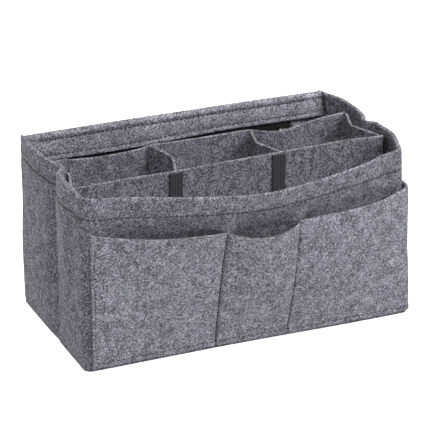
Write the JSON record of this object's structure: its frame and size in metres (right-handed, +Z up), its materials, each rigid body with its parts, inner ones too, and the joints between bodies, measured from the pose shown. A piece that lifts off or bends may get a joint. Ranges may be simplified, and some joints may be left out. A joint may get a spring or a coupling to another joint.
{
  "type": "purse organizer insert",
  "caption": "Grey felt purse organizer insert with pockets on its front, a zipped pocket inside the back wall and a removable folding divider.",
  "frame": {"origin": "middle of the base, on the surface it stands on", "axes": "+Z up, +X along the width to the right seen from the front, +Y to the back"},
  "size_m": [0.26, 0.1663, 0.134],
  "materials": {
    "felt": "matte melange felt",
    "divider_felt": "matte melange felt",
    "hook_loop": "woven hook-and-loop tape",
    "zip_tape": "woven tape",
    "zip_teeth": "satin",
    "zip_metal": "polished nickel"
  },
  "bodies": {
    "shell": {"back_panel": "felt", "front_wrap": "felt", "base_panel": "felt", "front_pocket_panel": "felt", "zip_pocket_lining": "felt", "zip_tape_upper": "zip_tape", "zip_tape_lower": "zip_tape", "zip_teeth_upper": "zip_teeth", "zip_teeth_lower": "zip_teeth", "zip_top_stop_upper": "zip_metal", "zip_top_stop_lower": "zip_metal", "zip_bottom_stop": "zip_metal", "side_loop_strip_left": "hook_loop", "side_loop_strip_right": "hook_loop", "front_loop_strip_left": "hook_loop", "front_loop_strip_right": "hook_loop"},
    "slider": {"zip_slider": "zip_metal"},
    "pull": {"zip_pull": "zip_metal"},
    "divider": {"divider_back_panel": "divider_felt"},
    "left_cross_rear": {"left_cross_wall_rear": "divider_felt"},
    "left_cross_front": {"left_cross_wall_front": "divider_felt"},
    "left_end_rear": {"left_end_wall_rear": "divider_felt"},
    "left_end_front": {"left_end_wall_front": "divider_felt", "divider_end_strip_left": "hook_loop"},
    "right_cross_rear": {"right_cross_wall_rear": "divider_felt"},
    "right_cross_front": {"right_cross_wall_front": "divider_felt"},
    "right_end_rear": {"right_end_wall_rear": "divider_felt"},
    "right_end_front": {"right_end_wall_front": "divider_felt", "divider_end_strip_right": "hook_loop"},
    "divider_front": {"divider_front_panel": "divider_felt", "divider_front_strip_left": "hook_loop", "divider_front_strip_right": "hook_loop"}
  },
  "joints": [
    {"name": "divider_lift", "type": "slide", "parent": "shell", "child": "divider", "axis": [0, 0, 1], "range_m": [0, 0.14]},
    {"name": "left_cross_fold", "type": "hinge", "parent": "divider", "child": "left_cross_rear", "pos_m": [-0.0415, 0.0249, 0.064], "axis": [0, 0, 1], "range_deg": [0, 65]},
    {"name": "left_cross_crease", "type": "hinge", "parent": "left_cross_rear", "child": "left_cross_front", "pos_m": [-0.03565, 0.001, 0.064], "axis": [0, 0, 1], "range_deg": [-130, 0]},
    {"name": "left_end_fold", "type": "hinge", "parent": "divider", "child": "left_end_rear", "pos_m": [-0.1185, 0.0249, 0.064], "axis": [0, 0, 1], "range_deg": [0, 65]},
    {"name": "left_end_crease", "type": "hinge", "parent": "left_end_rear", "child": "left_end_front", "pos_m": [-0.11265, 0.001, 0.064], "axis": [0, 0, 1], "range_deg": [-130, 0]},
    {"name": "right_cross_fold", "type": "hinge", "parent": "divider", "child": "right_cross_rear", "pos_m": [0.0415, 0.0249, 0.064], "axis": [0, 0, 1], "range_deg": [-65, 0]},
    {"name": "right_cross_crease", "type": "hinge", "parent": "right_cross_rear", "child": "right_cross_front", "pos_m": [0.03565, 0.001, 0.064], "axis": [0, 0, 1], "range_deg": [0, 130]},
    {"name": "right_end_fold", "type": "hinge", "parent": "divider", "child": "right_end_rear", "pos_m": [0.1185, 0.0249, 0.064], "axis": [0, 0, 1], "range_deg": [-65, 0]},
    {"name": "right_end_crease", "type": "hinge", "parent": "right_end_rear", "child": "right_end_front", "pos_m": [0.11265, 0.001, 0.064], "axis": [0, 0, 1], "range_deg": [0, 130]},
    {"name": "divider_fold", "type": "hinge", "parent": "left_cross_front", "child": "divider_front", "pos_m": [-0.0415, -0.0229, 0.064], "axis": [0, 0, 1], "range_deg": [0, 60]},
    {"name": "zip_slide", "type": "slide", "parent": "shell", "child": "slider", "axis": [1, 0, 0], "range_m": [-0.173, 0]},
    {"name": "pull_swing", "type": "hinge", "parent": "slider", "child": "pull", "pos_m": [0.0835, 0.0586, 0.109], "axis": [0, 1, 0], "range_deg": [-35, 90]}
  ],
  "couplings": [
    {"joint": "left_cross_fold", "follows": "divider_fold", "ratio": 1},
    {"joint": "left_cross_crease", "follows": "divider_fold", "ratio": -2},
    {"joint": "left_end_fold", "follows": "divider_fold", "ratio": 1},
    {"joint": "left_end_crease", "follows": "divider_fold", "ratio": -2},
    {"joint": "right_cross_fold", "follows": "divider_fold", "ratio": -1},
    {"joint": "right_cross_crease", "follows": "divider_fold", "ratio": 2},
    {"joint": "right_end_fold", "follows": "divider_fold", "ratio": -1},
    {"joint": "right_end_crease", "follows": "divider_fold", "ratio": 2}
  ]
}
